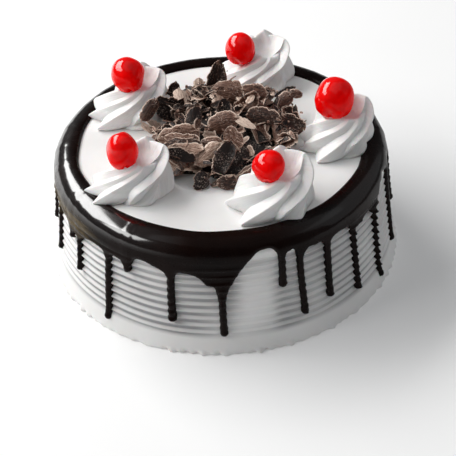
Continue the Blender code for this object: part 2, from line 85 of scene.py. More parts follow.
class Finish:
    # one material: its steady values, then whatever nodes feed it
    def __init__(self, name, steady):
        self.material = bpy.data.materials.new(name)
        self.material.use_nodes = True
        self.tree = self.material.node_tree
        self.shader = self.tree.nodes["Principled BSDF"]
        for socket, value in steady.items():
            self.shader.inputs[socket].default_value = value

    def node(self, kind, settings=None, inputs=None, output=0):
        made = self.tree.nodes.new(kind)
        for name, value in (settings or {}).items():
            if name == "stops":
                self.setStops(made.color_ramp, value)
            else:
                setattr(made, name, value)
        for socket, value in (inputs or {}).items():
            if isinstance(value, Wire):
                self.tree.links.new(value.socket, made.inputs[socket])
            else:
                made.inputs[socket].default_value = value
        return Wire(self, made.outputs[output])

    def setStops(self, ramp, stops):
        while len(ramp.elements) < len(stops):
            ramp.elements.new(1.0)
        for element, (place, colour) in zip(ramp.elements, stops):
            element.position = place
            element.color = (*colour, 1.0)

    def sum(self, operation, first, second):
        return self.node("ShaderNodeMath", {"operation": operation}, {0: first, 1: second})

    def place(self):
        return self.node("ShaderNodeTexCoord", output="Object")

    def stretched(self, vector, scale):
        return self.node("ShaderNodeVectorMath", {"operation": "MULTIPLY"}, {0: vector, 1: scale})

    def noise(self, vector, scale, detail=2.0, roughness=0.5):
        values = {"Vector": vector, "Scale": scale, "Detail": detail, "Roughness": roughness}
        return self.node("ShaderNodeTexNoise", None, values)

    def ramp(self, value, stops):
        return self.node("ShaderNodeValToRGB", {"stops": stops}, {"Fac": value})

    def spread(self, value, low, high, newLow=0.0, newHigh=1.0):
        values = {"Value": value, "From Min": low, "From Max": high, "To Min": newLow, "To Max": newHigh}
        return self.node("ShaderNodeMapRange", {"clamp": True}, values)

    def mix(self, share, first, second):
        values = {"Factor": share, 6: first, 7: second}
        return self.node("ShaderNodeMix", {"data_type": "RGBA"}, values, output=2)

    def attribute(self, name, output="Fac"):
        return self.node("ShaderNodeAttribute", {"attribute_name": name}, None, output)

    def bump(self, height, strength, distance):
        values = {"Strength": strength, "Distance": distance, "Height": height}
        return self.node("ShaderNodeBump", None, values)

    def feed(self, **wires):
        # what changes over the surface
        for name, wire in wires.items():
            self.tree.links.new(wire.socket, self.shader.inputs[socketNames[name]])
        return self.material


socketNames = {"colour": "Base Color", "roughness": "Roughness", "normal": "Normal", "coat": "Coat Weight"}


# helpers for meshes

def makeMesh(name, points, faces, material, sharpAngle=None):
    # points in mm, faces as lists of corners
    mesh = bpy.data.meshes.new(name)
    mesh.from_pydata((np.asarray(points) * mm).tolist(), [], [list(face) for face in faces])
    shape = bmesh.new()
    shape.from_mesh(mesh)
    bmesh.ops.recalc_face_normals(shape, faces=shape.faces)
    shape.to_mesh(mesh)
    shape.free()
    mesh.shade_smooth()
    if sharpAngle:
        mesh.set_sharp_from_angle(angle=math.radians(sharpAngle))
    mesh.materials.append(material)
    made = bpy.data.objects.new(name, mesh)
    bpy.context.scene.collection.objects.link(made)
    return made


def paint(piece, name, values):
    # a number or a vector for each point, which the finish reads
    values = np.asarray(values, dtype=np.float32)
    isVector = values.ndim == 2
    layer = piece.data.attributes.new(name, "FLOAT_VECTOR" if isVector else "FLOAT", "POINT")
    layer.data.foreach_set("vector" if isVector else "value", values.ravel())


def settle(piece, node):
    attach(piece, "root")
    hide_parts(node)
    return piece


def ringFaces(ringCount, count, tips=()):
    # quads between rings of points, then fans from the first and the last ring to their tips
    starts = range(0, ringCount * count, count)
    faces = []
    for low, high in zip(starts, starts[1:]):
        for column in range(count):
            right = (column + 1) % count
            faces.append((low + column, low + right, high + right, high + column))
    for start, tip in zip((starts[0], starts[-1]), tips):
        for column in range(count):
            faces.append((start + column, start + (column + 1) % count, tip))
    return faces


def waves(seed, count, turns, climb):
    # a smooth uneven field of an angle and a height, closed all the way round
    draw = np.random.default_rng(seed)
    rounds = draw.integers(turns[0], turns[1] + 1, count)
    climbs = draw.uniform(-climb, climb, count)
    shifts = draw.uniform(0, tau, count)
    weights = draw.uniform(0.4, 1.0, count)
    level = math.sqrt((weights ** 2).sum() / 2)

    def field(angle, height=0.0):
        total = 0.0
        for k, slope, shift, weight in zip(rounds, climbs, shifts, weights):
            total = total + weight * np.sin(k * angle + slope * height + shift)
        return total / level

    return field


def smoothStep(value, low, high):
    share = np.clip((value - low) / (high - low), 0.0, 1.0)
    return share * share * (3 - 2 * share)


def wayAlong(line):
    # how far each corner of a line is from its start
    return np.concatenate(([0.0], np.cumsum(np.hypot(*np.diff(line, axis=0).T))))


def evened(values, steps):
    # the running mean over an odd number of steps
    return np.convolve(np.pad(values, steps // 2, mode="edge"), np.ones(steps) / steps, mode="valid")


def heading(degrees):
    # a direction in the plane, 1 long
    return np.array((math.cos(math.radians(degrees)), math.sin(math.radians(degrees))))


def turnPast(angle, start):
    # how far an angle lies past another, the short way round
    return (angle - start + math.pi) % tau - math.pi


def fadeOver(value, stops):
    # rises from 0 to 1 between the first two stops and falls again between the last two
    return smoothStep(value, *stops[:2]) * (1 - smoothStep(value, *stops[2:]))


# the cream body

body = {
    "height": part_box("cake")[1].z / mm,
    "footRadius": 106.3,
    "topRadius": 97.8,
    "wallRadius": 103.4,
    "shoulder": 9.0,
    "footHeight": 10.6,
    "footProfile": ((-2.6, 9.6), (-1.8, 7.4), (-0.8, 4.0), (-0.15, 1.6), (0.0, 0.8), (-0.6, 0.0)),
    "ridges": 11,
    "ridgeDepth": 1.7,
    "crestShare": 0.66,  # where a crest stands between two grooves
    "troughPower": 0.8,  # under 1 the crests are edges and the troughs round
    "columns": 420,
    "rowsPerRidge": 11,
    "wobble": 0.35,
    "flatPatch": (-80.5, 6.5, 34.0, 26.0, 0.85),  # angle, its reach, height, its reach, how flat
    "combChange": 0.22,
    "combFade": (-1.0, 2.5, -3.0, 1.0),  # it fades in past the foot band and out by the shoulder
    "litFace": (0.52, 0.70, 0.86, 1.0),  # where in a ridge the light face starts and ends
    "footRag": (0.6, 0.4, 3.4),  # how ragged, full below the first height, none above the second
    "discWave": 0.12,
    "shoulderSteps": 12,
    "discRows": (2.0, 80.0, 12),  # first and last radius, how many
    "edgeRows": (84.0, 14),
    "footRows": 15,
    "lineStep": 0.25,
    "cornerSteps": 9,  # steps of the line that a corner's direction is evened over
}
wallTop = body["height"] - body["shoulder"]
ridgePitch = (wallTop - body["footHeight"]) / body["ridges"]
combWobble = waves(21, 9, (1, 9), 0.03)
combDepth = waves(22, 12, (1, 14), 0.12)
footWaves = waves(23, 26, (12, 150), 0.4)
discWaves = waves(24, 9, (1, 5), 0.05)


def creamLine():
    # from the middle of the top out, over the shoulder and down to the foot's lower edge
    shoulder = body["shoulder"]
    centre = body["topRadius"] - shoulder
    points = [(0.0, body["height"])]
    for angle in np.linspace(0, math.pi / 2, body["shoulderSteps"] + 1):
        points.append((centre + shoulder * math.sin(angle), wallTop + shoulder * math.cos(angle)))
    points.append((body["wallRadius"], body["footHeight"]))
    points += [(body["footRadius"] + inward, height) for inward, height in body["footProfile"]]
    line = np.array(points)
    runs = wayAlong(line)
    even = np.arange(0, runs[-1], body["lineStep"])
    radius, height = [np.interp(even, runs, line[:, side]) for side in (0, 1)]
    along = np.gradient(radius), np.gradient(height)
    size = np.hypot(*along)
    out = evened(-along[1] / size, body["cornerSteps"])
    up = evened(along[0] / size, body["cornerSteps"])
    return even, radius, height, out, up


lineRun, lineRadius, lineHeight, lineOut, lineUp = creamLine()
wallStart = float(np.interp(-wallTop, -lineHeight, lineRun))
footStart = float(np.interp(-body["footHeight"], -lineHeight, lineRun))


def combed(angle, height):
    # how deep the comb went in: 0 on the foot, the shoulder and the flat patch
    patchAngle, patchWidth, patchHeight, patchTall, flat = body["flatPatch"]
    aside = np.degrees(turnPast(angle, math.radians(patchAngle)))
    patch = np.exp(-(aside / patchWidth) ** 4 - ((height - patchHeight) / patchTall) ** 4)
    ends = (body["footHeight"], body["footHeight"], wallTop, wallTop)
    fade = fadeOver(height, [end + off for end, off in zip(ends, body["combFade"])])
    return fade * (1 - flat * patch) * (1 + body["combChange"] * combDepth(angle, height))


def ridgeDip(angle, height):
    # how far the combed cream lies in from the line of its crests
    share = ((height - body["footHeight"]) / ridgePitch) % 1.0
    crest = body["crestShare"]
    beyond = 0.5 + 0.5 * (share - crest) / (1 - crest)
    fromCrest = np.where(share < crest, 0.5 * share / crest, beyond) - 0.5
    dip = np.abs(np.sin(math.pi * fromCrest)) ** body["troughPower"]
    return body["ridgeDepth"] * dip * combed(angle, height)


def paintedGrooveShade(angle, height):
    # painted shade: 1 in a groove and under its crest, 0 on the lit face above the crest
    share = ((height - body["footHeight"]) / ridgePitch) % 1.0
    return combed(angle, height) * (1 - fadeOver(share, body["litFace"]))


def lineAt(run):
    return [np.interp(run, lineRun, values) for values in (lineRadius, lineHeight, lineOut, lineUp)]


def onCream(angle, run, lift):
    # a point over the cream, whose grooves are followed
    radius, height, out, up = lineAt(run)
    wobble = body["wobble"] * combWobble(angle, height) * smoothStep(run, wallStart, wallStart + 4)
    off = lift - ridgeDip(angle, height + wobble)
    across = radius + out * off
    return np.stack((across * np.cos(angle), across * np.sin(angle), height + up * off), axis=-1)


def bodyRuns():
    edgeStart, edgeCount = body["edgeRows"]
    runs = [*np.linspace(*body["discRows"]), *np.linspace(edgeStart, wallStart, edgeCount)]
    for ridge in range(body["ridges"]):
        top = wallTop - ridge * ridgePitch
        for step in range(1, body["rowsPerRidge"] + 1):
            share = step / body["rowsPerRidge"]
            runs.append(float(np.interp(-(top - share * ridgePitch), -lineHeight, lineRun)))
    return runs + list(np.linspace(footStart, lineRun[-1], body["footRows"])[1:])


def creamBody(material):
    angles = np.linspace(0, tau, body["columns"], endpoint=False)
    rag, *ragHeights = body["footRag"]
    rows, shades = [], []
    for run in bodyRuns():
        radius, height, out, up = lineAt(run)
        wobble = body["wobble"] * combWobble(angles, height) * smoothStep(run, wallStart, wallStart + 4)
        wobble = wobble * (1 - smoothStep(run, footStart - 4, footStart))
        off = -ridgeDip(angles, height) + body["discWave"] * discWaves(angles, height)
        off = off + (1 - smoothStep(height, *ragHeights)) * rag * footWaves(angles, height)
        across = radius + out * off
        level = height + up * off - wobble
        rows.append(np.stack((across * np.cos(angles), across * np.sin(angles), level), axis=-1))
        shades.append(paintedGrooveShade(angles, height))
    rows[-1][:, 2] = 0.0
    last = len(rows) * body["columns"]
    points = np.concatenate(rows + [[(0, 0, body["height"]), (0, 0, 0)]])
    piece = makeMesh("creamBody", points, ringFaces(len(rows), body["columns"], (last, last + 1)), material)
    # the painted groove shade, which the finish darkens the cream with
    paint(piece, "groove", np.concatenate(shades + [np.zeros(2)]))
    return settle(piece, "cake")


# the glaze ring and its drips

glaze = {
    "inner": 84.0,
    "thickness": 1.9,
    "wallThickness": 1.5,
    "edgeRound": 2.1,  # how far in from its edge it reaches full thickness
    "cell": 0.85,
    "sunk": 0.25,
    "blend": 3.2,  # rounding where a drip leaves the sheet
    "bead": -0.15,  # a drip is this much narrower in the grooves
    "grooveFill": (0.82, 0.98),  # at an edge and inside
    "shallowest": 6.0,
    "gap": 0.35,  # the solids' air under it
    "waver": 0.25,  # of both edges
    "meander": 0.35,  # of a drip
    "root": 4.0,  # how far above the sheet's edge a drip starts
    "shortest": 3.0,
    "taper": (6.0, 1.15, 0.93, 1.1),  # reach from both ends, shares of the width: top, middle, tip
    "snap": 0.32,  # share of a cell within which corners move onto the outline
    "thinning": 12.0,  # way down the side to the thickness of the side
    "tipBead": (0.45, 4.0, 2.6),  # how much thicker, its reach across and along
    "dripRidge": (0.2, 3.0, 60.0, 10.0),  # how much thicker, reach across, fade from the tip up
    "fillReach": 1.4,
    "ripple": (0.05, 0.5, 3.0, 8.0),  # how deep, fade in from the edge, fade above the side
    # middle of the shoulder's part with the full painted sheen, where the key light's highlight strip falls,
    # of one with a weaker painted sheen and of the thin left part, with the cosines that each fades in
    # between
    "paintedSheenSide": (-165.0, 0.42, 0.8),
    "weakSheenSide": (-32.0, 0.75, 0.96),
    "weakSheenShare": 0.25,
    "paintedSheenBand": (-16.0, -12.0, -5.0, -1.0),  # from where the side starts
    "thinSide": (-166.0, 0.84, 0.97),
    "thinBand": (-4.0, 3.0, 9.0, 16.0),
    # angle, half width, depths below the top: tip, edge at the drip, edge after
    # it, and the share of the way on where that is (a tip of 0 has no drip)
    "front": (
        (-171.5, 1.8, 40, 19, 16, 0.6), (-163.9, 1.9, 53, 19, 21, 0.6), (-152.0, 2.0, 30, 26, 24, 0.5),
        (-147.0, 1.9, 48, 25, 20, 0.6), (-132.0, 2.3, 67, 23, 21, 0.35), (-124.0, 2.3, 28, 24, 17, 0.3),
        (-108.4, 2.4, 54, 23, 20, 0.4), (-99.0, 0.0, 0, 22.5, 28, 0.5), (-91.8, 2.25, 62, 37, 6, 0.78),
        (-72.0, 2.3, 34, 12, 11, 0.6), (-65.0, 2.2, 57, 16, 13, 0.6), (-54.8, 2.3, 53, 15, 13, 0.6),
        (-42.4, 2.1, 61, 18, 16, 0.6), (-29.0, 1.9, 68, 21, 7, 0.6), (-12.3, 1.9, 64, 10, 8, 0.6),
        (-4.5, 1.8, 45, 10, 9, 0.6),
    ),
    "back": {
        "from": 6.0, "to": 178.0, "spacing": (10.0, 14.5), "halfWidth": (1.8, 2.3),
        "tip": (30, 58), "edge": (13, 23), "rise": (3, 8), "share": 0.6,
    },
    "seed": 4,
}
glazeTop = body["height"] + glaze["gap"] + glaze["thickness"]
innerWaves = waves(31, 10, (2, 16), 0.0)
edgeWaves = waves(32, 24, (14, 90), 0.0)
dripWaves = waves(33, 10, (9, 40), 0.09)


def dripRows():
    draw = random.Random(glaze["seed"])
    rows = list(glaze["front"])
    back = glaze["back"]
    angle = back["from"]
    while angle < back["to"]:
        tip = draw.uniform(*back["tip"])
        edge = draw.uniform(*back["edge"])
        dip = edge - draw.uniform(*back["rise"])
        rows.append((angle, draw.uniform(*back["halfWidth"]), tip, edge, dip, back["share"]))
        angle += draw.uniform(*back["spacing"])
    return rows


def edgeDepth(rows, degrees):
    # pointed at a drip, rounded between two
    degrees = (degrees - rows[0][0]) % 360 + rows[0][0]
    following = rows[1:] + [(rows[0][0] + 360, *rows[0][1:])]
    for (angle, _, _, edge, dip, dipShare), (nextAngle, _, _, nextEdge, _, _) in zip(rows, following):
        if degrees <= nextAngle:
            break
    share = (degrees - angle) / (nextAngle - angle)
    if share < dipShare:
        depth = edge + (dip - edge) * math.sin(math.pi / 2 * share / dipShare)
    else:
        rest = (1 - share) / (1 - dipShare)
        depth = nextEdge + (dip - nextEdge) * math.sin(math.pi / 2 * rest)
    return max(depth, glaze["shallowest"])


def runAtDepth(depth):
    return np.interp(depth, glazeTop - (lineHeight + lineUp * glaze["thickness"]), lineRun)


def softMax(first, second, reach):
    near = np.maximum(reach - np.abs(first - second), 0.0) / reach
    return np.maximum(first, second) + near * near * reach / 4


def glazeInside(angle, run):
    # how far a point is inside the glaze's outline, below 0 outside it
    rows = dripRows()
    columns = angle[:, 0]
    edges = np.array([edgeDepth(rows, math.degrees(value)) for value in columns])
    edges = runAtDepth(edges) + glaze["waver"] * edgeWaves(columns)
    edges = sum(np.roll(edges, shift) for shift in (-1, 0, 1)) / 3
    slope = np.gradient(edges) / (tau * body["topRadius"] / len(columns))
    inside = (edges[:, None] - run) / np.sqrt(1 + slope[:, None] ** 2)
    radius, height, _, _ = lineAt(run)
    reach, atTop, midway, atTip = glaze["taper"]
    for degrees, halfWidth, tip, edge, _, _ in rows:
        start = float(runAtDepth(edge)) - glaze["root"]
        end = float(runAtDepth(tip)) - halfWidth
        if end < start + glaze["shortest"]:
            continue
        meander = glaze["meander"] * dripWaves(math.radians(degrees), height)
        aside = turnPast(angle, math.radians(degrees)) * radius + meander
        along = np.clip(run, start, end)
        phase = (height - body["footHeight"]) / ridgePitch * tau
        taper = np.interp(run, (start, start + reach, end - reach, end), (atTop, midway, midway, atTip))
        width = halfWidth * taper + glaze["bead"] * np.cos(phase) * (run < end)
        inside = softMax(inside, width - np.hypot(aside, run - along), glaze["blend"])
    return np.minimum(inside, run - glaze["inner"] - glaze["waver"] * innerWaves(angle))


def cutToOutline(angle, run, inside):
    # triangles of the grid within the outline; corners by it are moved onto it
    columns, rows = inside.shape
    number = np.arange(columns * rows).reshape(columns, rows)
    after = np.roll(number, -1, axis=0)
    a, b = number[:, :-1].ravel(), after[:, :-1].ravel()
    c, d = after[:, 1:].ravel(), number[:, 1:].ravel()
    triangles = np.concatenate((np.stack((a, b, c), 1), np.stack((a, c, d), 1)))
    flat = [angle.ravel().tolist(), run.ravel().tolist(), inside.ravel().tolist()]
    signs = np.sign(inside.ravel())[triangles]
    whole = triangles[(signs.min(axis=1) >= 0) & (signs.max(axis=1) > 0)]
    crossed = triangles[(signs.min(axis=1) < 0) & (signs.max(axis=1) > 0)]
    faces = whole.tolist()
    made = {}
    for corners in crossed.tolist():
        outline = []
        for here, there in zip(corners, corners[1:] + corners[:1]):
            if flat[2][here] >= 0:
                outline.append(here)
            if flat[2][here] * flat[2][there] < 0:
                key = (min(here, there), max(here, there))
                if key not in made:
                    made[key] = len(flat[2])
                    share = flat[2][here] / (flat[2][here] - flat[2][there])
                    flat[0].append(flat[0][here] + turnPast(flat[0][there], flat[0][here]) * share)
                    flat[1].append(flat[1][here] + (flat[1][there] - flat[1][here]) * share)
                    flat[2].append(0.0)
                outline.append(made[key])
        faces.append(outline)
    used = sorted({corner for face in faces for corner in face})
    place = {old: new for new, old in enumerate(used)}
    faces = [[place[corner] for corner in face] for face in faces]
    return [np.array(values)[used] for values in flat], faces


def closeSkin(count, faces):
    # faces of a skin of so many points and of its underside, joined along every open edge
    edges = {}
    for face in faces:
        for here, there in zip(face, face[1:] + face[:1]):
            if (there, here) in edges:
                del edges[(there, here)]
            else:
                edges[(here, there)] = True
    allFaces = list(faces) + [[corner + count for corner in reversed(face)] for face in faces]
    return allFaces + [[there, here, here + count, there + count] for here, there in edges]


def glazeThickness(angle, run, height, inside):
    # off the crests of the cream: the sheet, rounded to its edge, with its drips and beads
    pastWall = run - wallStart
    full = np.interp(pastWall, (0.0, glaze["thinning"]), (glaze["thickness"], glaze["wallThickness"]))
    bead, beadAcross, beadAlong = glaze["tipBead"]
    ridge, ridgeAcross, *ridgeFade = glaze["dripRidge"]
    for degrees, halfWidth, tip, _, _, _ in dripRows():
        if tip == 0:
            continue
        end = float(runAtDepth(tip)) - halfWidth
        aside = turnPast(angle, math.radians(degrees)) * body["topRadius"]
        full = full + bead * np.exp(-(aside / beadAcross) ** 2 - ((run - end) / beadAlong) ** 2)
        onDrip = smoothStep(run, *[end - off for off in ridgeFade])
        full = full + ridge * np.exp(-(aside / ridgeAcross) ** 4) * onDrip
    bulge = np.sqrt(1 - (1 - np.clip(inside / glaze["edgeRound"], 0, 1)) ** 2)
    edgeFill, fullFill = glaze["grooveFill"]
    fill = edgeFill + (fullFill - edgeFill) * smoothStep(inside, 0, glaze["fillReach"])
    depth, *rippleFade, above = glaze["ripple"]
    ripple = depth * dripWaves(angle, height) * smoothStep(inside, *rippleFade)
    return full * bulge + fill * ridgeDip(angle, height) + ripple * smoothStep(pastWall, -above, 0.0)


def facing(angle, side):
    middle, low, high = side
    return smoothStep(np.cos(angle - math.radians(middle)), low, high)


def glazeCoat(material):
    columns = round(tau * body["topRadius"] / glaze["cell"])
    deepest = max(row[2] for row in dripRows())
    runs = np.arange(glaze["inner"] - 2, float(runAtDepth(deepest)) + 3, glaze["cell"])
    angle, run = np.meshgrid(np.linspace(0, tau, columns, endpoint=False), runs, indexing="ij")
    inside = glazeInside(angle, run)
    alongAngle = np.roll(inside, -1, axis=0) - np.roll(inside, 1, axis=0)
    slopeAngle = alongAngle / (2 * tau / columns)
    slopeRun = np.gradient(inside, runs, axis=1)
    radius = lineAt(run)[0]
    steep = (slopeAngle / radius) ** 2 + slopeRun ** 2 + 1e-6
    near = np.abs(inside) < glaze["snap"] * glaze["cell"]
    angle = np.where(near, angle - inside * slopeAngle / radius ** 2 / steep, angle)
    run = np.where(near, run - inside * slopeRun / steep, run)
    inside = np.where(near, 0.0, inside)
    (angle, run, inside), faces = cutToOutline(angle, run, inside)
    outer = onCream(angle, run, glazeThickness(angle, run, lineAt(run)[1], inside))
    under = onCream(angle, run, np.full_like(run, -glaze["sunk"]))
    points = np.concatenate((outer, under))
    piece = makeMesh("glazeCoat", points, closeSkin(len(outer), faces), material)
    pastWall = run - wallStart
    # painted sheen: the coat goes only on the shoulder, where the lamps' highlight strips fall
    wet = np.maximum(facing(angle, glaze["paintedSheenSide"]), glaze["weakSheenShare"] * facing(angle, glaze["weakSheenSide"]))
    wet = wet * np.interp(pastWall, glaze["paintedSheenBand"], (0.0, 1.0, 1.0, 0.0))
    paint(piece, "wet", np.tile(wet, 2))
    paint(piece, "thin", np.tile(facing(angle, glaze["thinSide"]) * fadeOver(pastWall, glaze["thinBand"]), 2))
    return settle(piece, "ganache")


# cherries

cherry = {
    # node, place across and along, height of the centre above the cream, half width, half height
    "rows": (
        ("cherry_1", -55.0, -40.0, 26.2, 9.0, 12.7),
        ("cherry_2", 26.0, -60.5, 25.9, 9.0, 9.4),
        ("cherry_3", 67.0, -3.0, 29.6, 11.4, 12.8),
        ("cherry_4", 15.4, 66.0, 23.0, 9.2, 10.6),
        ("cherry_5", -53.5, 35.5, 27.9, 10.1, 11.3),
    ),
    "lean": 14.0,
    "turn": 70.0,
    "fullness": 0.92,
    "dimple": (0.22, 6),  # depth and power
    "wrinkle": (0.22, 0.1, 0.75),  # depth, and where it fades in towards the stalk's end
    "lump": 0.028,
    "columns": 64,
    "rings": 44,
    "paintedSheenSide": (-0.5, -0.2, 0.84),  # painted sheen: the full coat lies on this side, where the key light's highlight falls
    "cherrySheenFade": (0.62, 0.88),
}


def cherryFrame(number):
    _, across, along, height, _, _ = cherry["rows"][number]
    spin = Matrix.Rotation(math.radians(cherry["turn"] * number), 4, "Z")
    spin = spin @ Matrix.Rotation(math.radians(cherry["lean"]), 4, "X")
    return Matrix.Translation(Vector((across, along, body["height"] + height))) @ spin


def moved(matrix, points):
    values = np.array(matrix)
    return points @ values[:3, :3].T + values[:3, 3]


def makeCherry(number, material):
    node, _, _, _, halfWidth, halfHeight = cherry["rows"][number]
    lumps = waves(41 + number, 10, (1, 5), 3.0)
    folds = waves(51 + number, 5, (3, 7), 0.8)
    count = cherry["columns"]
    angles = np.linspace(0, tau, count, endpoint=False)
    dimple, power = cherry["dimple"]
    wrinkle, *wrinkleFade = cherry["wrinkle"]
    rings = []
    for tilt in np.linspace(0, math.pi, cherry["rings"] + 2)[1:-1]:
        stalkEnd = max(math.cos(tilt), 0.0)
        level = np.full_like(angles, -halfHeight * math.cos(tilt) * (1 - dimple * stalkEnd ** power))
        fold = wrinkle * smoothStep(stalkEnd, *wrinkleFade) * np.clip(folds(angles, 2 * tilt), 0, 2)
        size = halfWidth * math.sin(tilt) ** cherry["fullness"]
        size = size * (1 + cherry["lump"] * lumps(angles, tilt) - fold)
        rings.append(np.stack((size * np.cos(angles), size * np.sin(angles), level), axis=-1))
    last = len(rings) * count
    tips = [(0, 0, -halfHeight * (1 - dimple)), (0, 0, halfHeight)]
    matrix = cherryFrame(number)
    points = moved(matrix, np.concatenate(rings + [tips]))
    piece = makeMesh(f"cherry{number + 1}", points, ringFaces(len(rings), count, (last, last + 1)), material)
    way = points - np.array(matrix.translation)
    way = way / np.linalg.norm(way, axis=1, keepdims=True)
    # painted sheen: the coat is full on the side facing the key light and low elsewhere
    paint(piece, "syrup", smoothStep(way @ np.array(cherry["paintedSheenSide"]), *cherry["cherrySheenFade"]))
    return settle(piece, node)


def clearOfCherry(points, number, margin):
    # pushes points that are in the fruit out to its skin; those in its middle stay inside it
    _, _, _, _, halfWidth, halfHeight = cherry["rows"][number]
    matrix = cherryFrame(number)
    local = moved(matrix.inverted(), points)
    size = np.array((halfWidth, halfWidth, halfHeight)) + margin
    depth = np.linalg.norm(local / size, axis=1)
    grow = np.where(depth < 1, 1 / np.maximum(depth, 0.2), 1.0)
    return moved(matrix, local * grow[:, None])


# piped rosettes

rosette = {
    # node, angle and distance from the middle, radius, rim height, slope of the
    # rim, angle of the main rib, step to the rib left of it, how far the left ones run out
    "rows": (
        ("rosette_1", -142.4, 65.6, 23.5, 22.6, 0.22, -147, 30, 4.6),
        ("rosette_2", -66.7, 66.4, 25.0, 24.0, 0.34, -133, 50, 1.0),
        ("rosette_3", -5.5, 68.3, 23.0, 24.4, 0.30, -124, 44, 0.0),
        ("rosette_4", 71.0, 71.0, 24.0, 22.6, 0.27, -136, 40, 0.0),
        ("rosette_5", 146.5, 64.5, 24.5, 23.8, 0.27, -140, 36, 2.5),
    ),
    # share of the height and of the radius, from the foot over the rim into the hollow
    "profile": (
        (0.0, 0.90), (0.03, 0.97), (0.10, 1.0), (0.22, 0.97), (0.40, 0.88), (0.56, 0.79), (0.75, 0.69),
        (0.88, 0.60), (0.96, 0.53), (1.0, 0.45), (0.98, 0.39), (0.91, 0.33), (0.83, 0.25), (0.79, 0.14),
        (0.78, 0.02),
    ),
    "rimPlace": 9,
    "cornerSteps": 7,
    # angle after the main rib, twist and its power, size at the foot, midway and at
    # the rim; two more lie left of the main rib
    "ribs": (
        (0, 58, 1.6, 1.06, 1.05, 1.0),
        (47, 120, 5.0, 0.70, 1.10, 1.18),
        (84, 110, 3.0, 0.94, 0.86, 0.95),
        (134, 100, 2.0, 0.98, 1.0, 1.05),
        (190, 90, 2.0, 0.98, 1.0, 1.0),
        (232, 85, 1.6, 1.0, 1.0, 1.0),
    ),
    "ribLevels": (0.1, 0.6, 1.0),
    "leftRib": (70, 1.4, 1.03, 0.98, 1.0),
    "leftSteps": (1.0, 1.9),
    "uneven": (7.0, 0.05),  # how much the ribs differ in angle and in size
    "turn": (75, 1.6),  # the columns turn about as much as the ribs
    "crestRound": (1.2, 0.9),
    "leftFlank": 24.0,
    "rightFlank": 58.0,
    "rightPower": 0.85,
    "depth": ((0.0, 0.12), (0.3, 0.42), (0.75, 0.46), (1.0, 0.2)),
    "leastSize": 0.4,
    "notch": (0.6, 0.3),  # the creases on the left are deeper, up to this height
    "reachTop": 0.4,
    "drop": 11.0,  # how far a crease lies lower near the rim
    "softness": 0.012,
    "hollowFade": (1.0, 1.25),  # the ribs end over this way past the rim
    "cherryGap": 0.15,
    "streaks": (14.0, 2.2, 3.0),  # round, up the side, and from one rosette to the next
    "slopeAngle": 110.0,
    "shift": (9.0, 20.0),  # how far the rim lies aside, and where to
    "reachAngle": -165.0,
    "columns": 330,
    "lines": 96,
}


def rosetteLine():
    # the profile as even small steps, and how far along it the rim is
    corners = np.array(rosette["profile"])
    runs = wayAlong(corners)
    even = np.linspace(0, runs[-1], rosette["lines"])
    sides = [np.interp(even, runs, corners[:, side]) for side in (0, 1)]
    height, width = [evened(values, rosette["cornerSteps"]) for values in sides]
    return height, width, even / runs[rosette["rimPlace"]]


def ribRows(number):
    # every rib of one rosette, a little different in each
    draw = random.Random(91 + number)
    gap = rosette["rows"][number][7]
    turn, change = rosette["uneven"]
    rows = [(-share * gap, *rosette["leftRib"]) for share in rosette["leftSteps"]]
    for offset, twist, power, *sizes in rosette["ribs"]:
        shift = turn * draw.uniform(-1, 1) * (offset != 0)
        rows.append((offset + shift, twist, power, *[size + change * draw.uniform(-1, 1) for size in sizes]))
    return rows


def ribSize(ribs, theta, height, main, reach):
    # the farthest of all ribs, each one short on its left and long on its right
    best = np.full_like(theta, rosette["leastSize"])
    depth = np.interp(height, *zip(*rosette["depth"]))
    widen, lower = rosette["crestRound"]
    notch, notchTop = rosette["notch"]
    for offset, twist, power, *sizes in ribs:
        crest = math.radians(main + offset + twist * height ** power)
        aside = np.degrees(turnPast(theta, crest))
        away = np.sqrt(aside ** 2 + widen) - lower
        rightFall = (away / rosette["rightFlank"]) ** rosette["rightPower"]
        fall = np.where(aside < 0, away / rosette["leftFlank"], rightFall)
        outward = max(math.cos(math.radians(main + offset - rosette["reachAngle"])), 0) ** 2
        size = np.interp(height, rosette["ribLevels"], sizes)
        size = size + reach * outward * max(1 - height / rosette["reachTop"], 0)
        deeper = notch * outward * max(1 - height / notchTop, 0)
        best = np.maximum(best, size * (1 - (depth + deeper) * fall))
    return best


